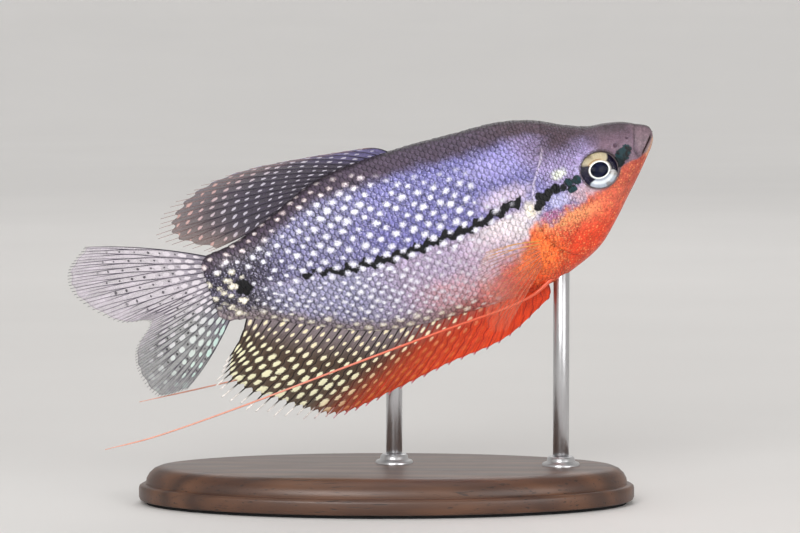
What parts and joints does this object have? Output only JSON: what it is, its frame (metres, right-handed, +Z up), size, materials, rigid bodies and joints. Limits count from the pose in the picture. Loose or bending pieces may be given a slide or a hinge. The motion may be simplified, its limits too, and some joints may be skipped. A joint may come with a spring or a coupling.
{
  "type": "pearl gourami",
  "caption": "Still life-size model of a pearl gourami, an aquarium fish, held nose up over a flat oval base by short rods.",
  "frame": {"origin": "centre of the whole model's box, on the surface that the base stands on", "axes": "+X towards the fish's nose and along the base, +Y towards the fish's left side, +Z up"},
  "size_m": [0.1084, 0.046, 0.0711],
  "materials": {
    "head_skin": "wet skin, orange red below and olive brown above",
    "body_skin": "violet blue scales with white pearl spots",
    "eye": "silver iris with a black pupil under a clear cornea",
    "dorsal_fin": "smoky translucent membrane with pale spots",
    "anal_fin": "orange red in front, dark with pale yellow spots behind",
    "tail_fin": "clear grey membrane with dark rays and spots",
    "pectoral_fin": "clear membrane with fine rays",
    "feeler": "satin orange thread",
    "stand_wood": "dark oiled wood",
    "stand_steel": "brushed steel rod"
  },
  "bodies": {
    "root": {"head": "head_skin", "torso": "body_skin", "tail_stalk": "body_skin", "eye_right": "eye", "eye_left": "eye", "fin_dorsal": "dorsal_fin", "fin_anal": "anal_fin", "fin_tail": "tail_fin", "fin_pectoral_right": "pectoral_fin", "fin_pectoral_left": "pectoral_fin", "feeler_right": "feeler", "feeler_left": "feeler", "stand_base": "stand_wood", "stand_rod_front": "stand_steel", "stand_rod_back": "stand_steel"}
  },
  "joints": []
}
